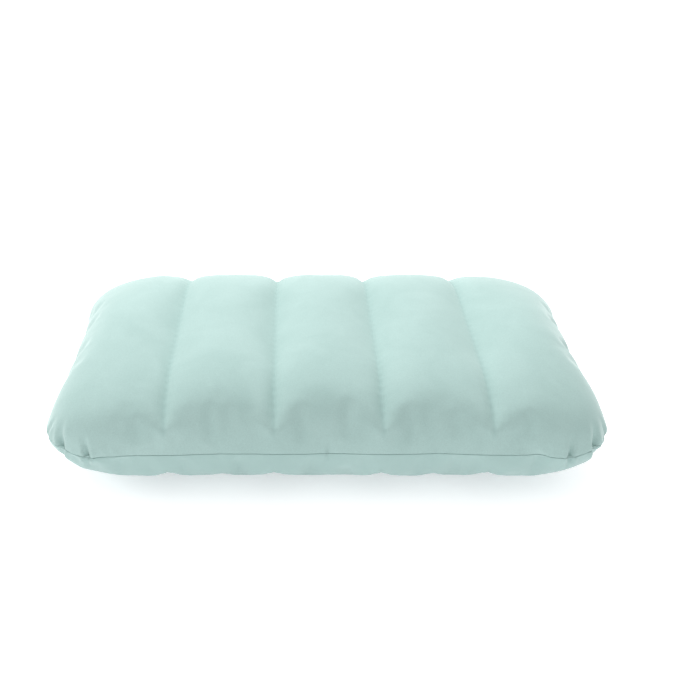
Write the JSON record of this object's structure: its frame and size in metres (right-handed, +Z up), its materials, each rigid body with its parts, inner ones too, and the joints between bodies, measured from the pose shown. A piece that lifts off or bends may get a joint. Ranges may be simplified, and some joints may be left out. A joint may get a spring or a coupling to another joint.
{
  "type": "camp pillow",
  "caption": "Inflatable rectangular camp pillow with a soft flocked top, side-by-side air chambers held level by inner webs, and a push-in stem valve with a tethered plug.",
  "frame": {"origin": "on the ground, under the centre of the inflated pillow", "axes": "+X along the pillow's width, across its chambers; +Y from the front seam to the rear seam, where the valve is; +Z up, out of the flocked side"},
  "size_m": [0.43, 0.265, 0.095],
  "materials": {
    "flocked_sheet": "short velvety flock on vinyl film",
    "plain_sheet": "matte embossed vinyl film",
    "web_film": "thin milky vinyl film",
    "valve_base": "smooth soft vinyl",
    "valve_moulding": "smooth milky soft vinyl"
  },
  "bodies": {
    "pillow": {"top_panel": "flocked_sheet", "bottom_panel": "plain_sheet", "web_1": "web_film", "web_2": "web_film", "web_3": "web_film", "web_4": "web_film", "top_tape_1": "web_film", "top_tape_2": "web_film", "top_tape_3": "web_film", "top_tape_4": "web_film", "bottom_tape_1": "web_film", "bottom_tape_2": "web_film", "bottom_tape_3": "web_film", "bottom_tape_4": "web_film", "valve_flange": "valve_base", "valve_sleeve": "valve_base"},
    "stem": {"valve_stem": "valve_moulding", "strap_stem_end": "valve_moulding"},
    "plug": {"valve_plug": "valve_moulding", "strap_plug_end": "valve_moulding"},
    "flap": {"check_flap": "valve_moulding"}
  },
  "joints": [
    {"name": "stem_pull", "type": "slide", "parent": "pillow", "child": "stem", "axis": [0, 0.8192, -0.5736], "range_m": [0, 0.012], "deforming": ["valve_sleeve"]},
    {"name": "plug_swing", "type": "hinge", "parent": "stem", "child": "plug", "pos_m": [0.0902, 0.12386, 0.02276], "axis": [0, -0.5736, -0.8192], "range_deg": [0, 175]},
    {"name": "flap_open", "type": "hinge", "parent": "stem", "child": "flap", "pos_m": [0.082, 0.11243, 0.03625], "axis": [-1, 0, 0], "range_deg": [0, 60], "stiffness_Nm_per_rad": 0.0002, "springref_deg": -5.73}
  ]
}
